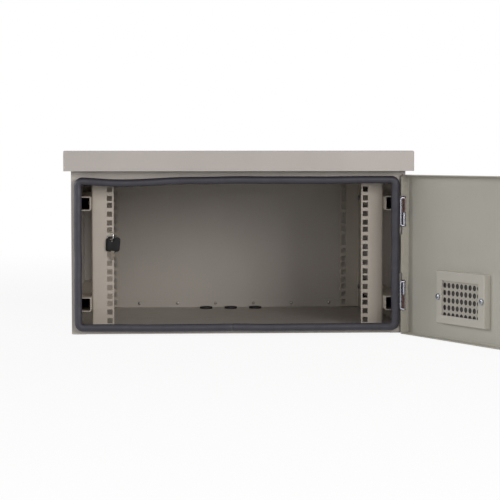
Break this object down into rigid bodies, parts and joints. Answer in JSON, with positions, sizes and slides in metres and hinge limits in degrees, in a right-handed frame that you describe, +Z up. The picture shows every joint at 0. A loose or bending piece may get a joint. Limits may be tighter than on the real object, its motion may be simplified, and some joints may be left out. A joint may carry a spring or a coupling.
{
  "type": "outdoor rack cabinet",
  "caption": "Weatherproof sheet-steel rack cabinet with a rain canopy, a sealed hinged door with a filtered vent and cam lock, rack rails inside and rubber cable entries in the floor.",
  "frame": {"origin": "centre of the base, on the plane that the cabinet stands on, midway between the outer faces of the side walls and midway between the door frame's face and the back wall's outer face", "axes": "+X to the right seen from the front, +Y from the door towards the back wall, +Z up"},
  "size_m": [0.878, 0.9933, 0.3295],
  "materials": {
    "shell_paint": "satin warm light grey powder coat",
    "canopy_paint": "satin warm light grey powder coat",
    "door_paint": "satin warm light grey powder coat",
    "vent_paint": "satin warm light grey powder coat",
    "grille_paint": "satin grey powder coat",
    "rail_paint": "satin warm grey powder coat",
    "gasket_rubber": "matt dark blue-grey foam rubber",
    "grommet_rubber": "matt black rubber",
    "hinge_chrome": "bright plated steel",
    "hinge_pin_steel": "browned steel",
    "zinc_steel": "zinc plated steel",
    "rivet_metal": "plain aluminium",
    "lock_chrome": "satin chrome",
    "ring_steel": "bright steel wire",
    "key_plastic": "moulded black plastic",
    "key_steel": "nickel plated steel",
    "filter_felt": "dark open filter felt"
  },
  "bodies": {
    "cabinet": {"right_side_panel": "shell_paint", "left_side_panel": "shell_paint", "back_panel": "shell_paint", "roof_panel": "shell_paint", "floor_panel": "shell_paint", "floor_stiffener": "shell_paint", "front_frame": "shell_paint", "rain_canopy": "canopy_paint", "front_right_rail": "rail_paint", "front_left_rail": "rail_paint", "rear_right_rail": "rail_paint", "rear_left_rail": "rail_paint", "lower_right_channel": "rail_paint", "lower_left_channel": "rail_paint", "upper_right_channel": "rail_paint", "upper_left_channel": "rail_paint", "door_gasket": "gasket_rubber", "left_grommet": "grommet_rubber", "middle_grommet": "grommet_rubber", "right_grommet": "grommet_rubber", "lower_hinge_bracket": "hinge_chrome", "upper_hinge_bracket": "hinge_chrome", "lower_hinge_pin": "hinge_pin_steel", "upper_hinge_pin": "hinge_pin_steel", "rail_screws": "zinc_steel", "rail_nuts": "zinc_steel", "floor_rivets": "rivet_metal", "key_ring": "ring_steel", "key_1_head": "key_plastic", "key_2_head": "key_plastic", "key_1_blade": "key_steel", "key_2_blade": "key_steel"},
    "door": {"door_panel": "door_paint", "lower_hinge_leaf": "hinge_chrome", "upper_hinge_leaf": "hinge_chrome", "vent_cover": "vent_paint", "vent_grille": "grille_paint", "filter_mat": "filter_felt", "vent_screws": "zinc_steel", "lock_barrel": "lock_chrome", "lock_nut": "zinc_steel"},
    "lock": {"lock_plug": "lock_chrome", "lock_cam": "zinc_steel", "cam_screw": "zinc_steel"}
  },
  "joints": [
    {"name": "door_hinge", "type": "hinge", "parent": "cabinet", "child": "door", "pos_m": [0.296, -0.2312, 0], "axis": [0, 0, 1], "range_deg": [-116, 4]},
    {"name": "lock_turn", "type": "hinge", "parent": "door", "child": "lock", "pos_m": [0.53279, -0.73654, 0.1435], "axis": [0.8988, 0.4384, 0], "range_deg": [0, 90]}
  ]
}
